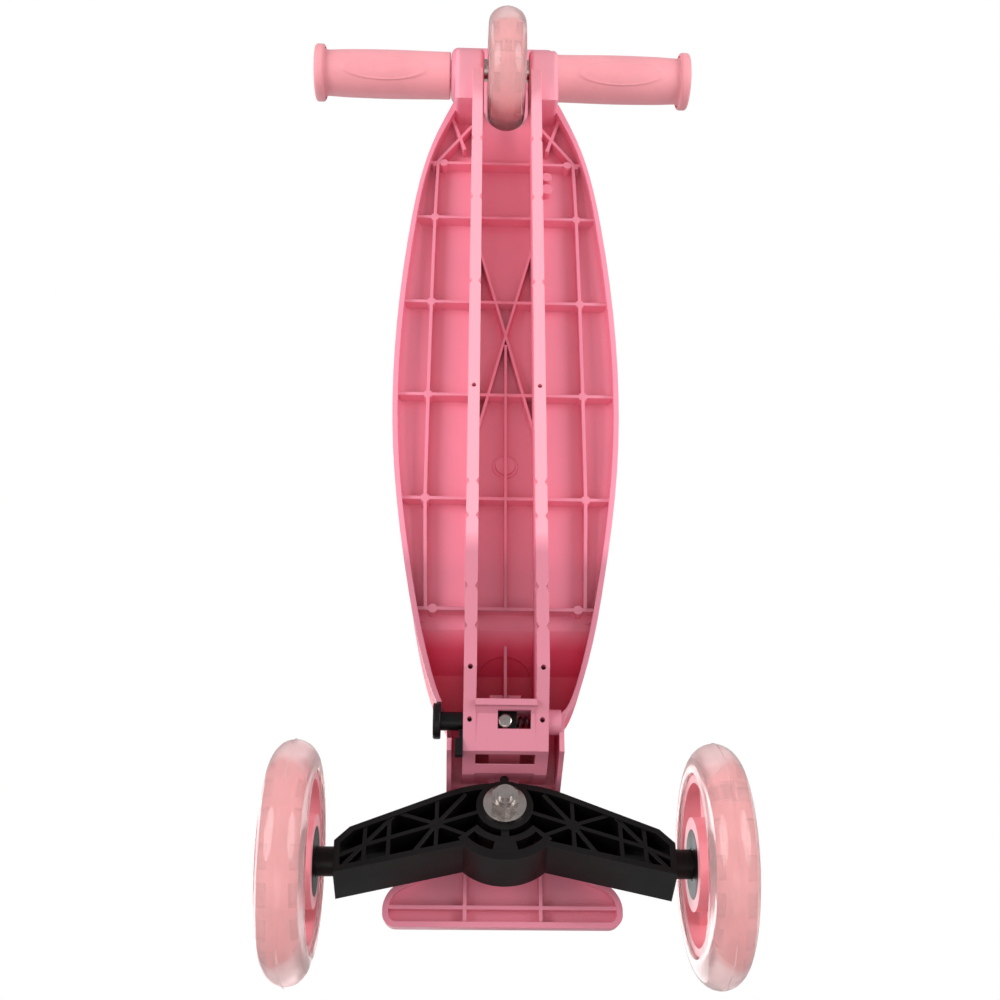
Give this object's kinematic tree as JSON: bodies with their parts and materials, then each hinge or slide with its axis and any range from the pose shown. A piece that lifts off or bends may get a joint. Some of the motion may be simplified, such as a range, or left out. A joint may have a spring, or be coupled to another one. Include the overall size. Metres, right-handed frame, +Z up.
{
  "type": "kick scooter",
  "caption": "Folded child's kick scooter: ribbed moulded deck, lean-steering yoke, clear-tyred wheels, folding stem with sliding handlebar and a rear foot brake.",
  "frame": {"origin": "on the ground, under the middle of the folded scooter's box", "axes": "+X forwards along the deck, +Y to the rider's left, +Z up"},
  "size_m": [0.646, 0.269, 0.144],
  "materials": {
    "pink_plastic": "satin moulded polypropylene",
    "grip_pad": "embossed non-slip",
    "zinc_steel": "bright zinc plate",
    "spring_steel": "drawn wire",
    "black_plastic": "satin",
    "black_nylon": "moulded, semi-gloss",
    "bush_bronze": "sintered",
    "painted_tube": "powder coat",
    "bright_tube": "satin anodised",
    "grip_rubber": "soft matte",
    "clear_tyre": "clear soft polyurethane",
    "ring_pink": "moulded",
    "core_pink": "moulded",
    "bearing_steel": "ground"
  },
  "bodies": {
    "deck": {"deck": "pink_plastic", "deck_pad": "grip_pad", "rear_axle": "zinc_steel", "rear_axle_nut": "zinc_steel", "rear_axle_spacers": "zinc_steel", "brake_pin": "zinc_steel", "brake_spring": "spring_steel", "fold_bolt": "zinc_steel", "fold_nut": "zinc_steel", "lock_spring": "spring_steel", "lock_clip": "black_plastic", "kingpin_bolt": "zinc_steel", "kingpin_nut": "zinc_steel", "kingpin_washer": "zinc_steel", "kingpin_thrust_washer": "black_plastic"},
    "steering": {"yoke": "black_nylon", "kingpin_bush": "bush_bronze", "front_axle_left": "zinc_steel", "front_axle_right": "zinc_steel", "steering_spring_left": "spring_steel", "steering_spring_right": "spring_steel"},
    "front_left_wheel": {"front_left_tyre": "clear_tyre", "front_left_light_ring": "ring_pink", "front_left_core": "core_pink", "front_left_bearings": "bearing_steel", "front_left_spacer": "zinc_steel", "front_left_hub_inserts": "black_plastic"},
    "front_right_wheel": {"front_right_tyre": "clear_tyre", "front_right_light_ring": "ring_pink", "front_right_core": "core_pink", "front_right_bearings": "bearing_steel", "front_right_spacer": "zinc_steel", "front_right_hub_inserts": "black_plastic"},
    "rear_wheel": {"rear_tyre": "clear_tyre", "rear_light_ring": "ring_pink", "rear_core": "core_pink", "rear_bearings": "bearing_steel", "rear_spacer": "zinc_steel"},
    "stem": {"stem_foot": "pink_plastic", "lower_tube": "painted_tube", "foot_screw": "zinc_steel", "height_collar": "pink_plastic", "collar_bush": "black_plastic", "button_spring": "spring_steel"},
    "height_lock": {"height_button": "black_plastic"},
    "handlebar": {"upper_tube": "bright_tube", "tube_guide": "black_plastic", "t_joint": "pink_plastic", "joint_screw": "zinc_steel", "handlebar": "bright_tube", "grip_left": "grip_rubber", "grip_right": "grip_rubber"},
    "brake": {"brake_fender": "pink_plastic"},
    "fold_lock": {"lock_slider": "black_plastic", "lock_knob": "black_plastic", "lock_screw": "zinc_steel"}
  },
  "joints": [
    {"name": "steer", "type": "hinge", "parent": "deck", "child": "steering", "pos_m": [0.23467, 0, 0.05796], "axis": [0.3746, 0, 0.9272], "range_deg": [-16, 16], "stiffness_Nm_per_rad": 30, "deforming": ["steering_spring_left", "steering_spring_right"]},
    {"name": "front_left_wheel_spin", "type": "hinge", "parent": "steering", "child": "front_left_wheel", "pos_m": [0.263, 0.106, 0.06], "axis": [0, 1, 0], "continuous": true},
    {"name": "front_right_wheel_spin", "type": "hinge", "parent": "steering", "child": "front_right_wheel", "pos_m": [0.263, -0.106, 0.06], "axis": [0, 1, 0], "continuous": true},
    {"name": "rear_wheel_spin", "type": "hinge", "parent": "deck", "child": "rear_wheel", "pos_m": [-0.237, 0, 0.04], "axis": [0, 1, 0], "continuous": true},
    {"name": "fold", "type": "hinge", "parent": "deck", "child": "stem", "pos_m": [0.177, 0, 0.09596], "axis": [0, 1, 0], "range_deg": [0, 80]},
    {"name": "height", "type": "slide", "parent": "stem", "child": "handlebar", "axis": [-1, 0, 0], "range_m": [0, 0.15]},
    {"name": "height_press", "type": "slide", "parent": "stem", "child": "height_lock", "axis": [0, 0, -1], "range_m": [0, 0.003], "stiffness_N_per_m": 800, "springref_m": -0.001, "deforming": ["button_spring"]},
    {"name": "brake_press", "type": "hinge", "parent": "deck", "child": "brake", "pos_m": [-0.19, 0, 0.068], "axis": [0, -1, 0], "range_deg": [0, 3], "stiffness_Nm_per_rad": 4, "springref_deg": -2.86, "deforming": ["brake_spring"]},
    {"name": "lock_press", "type": "slide", "parent": "deck", "child": "fold_lock", "axis": [0, -1, 0], "range_m": [0, 0.009], "stiffness_N_per_m": 700, "springref_m": -0.002, "deforming": ["lock_spring"]}
  ]
}
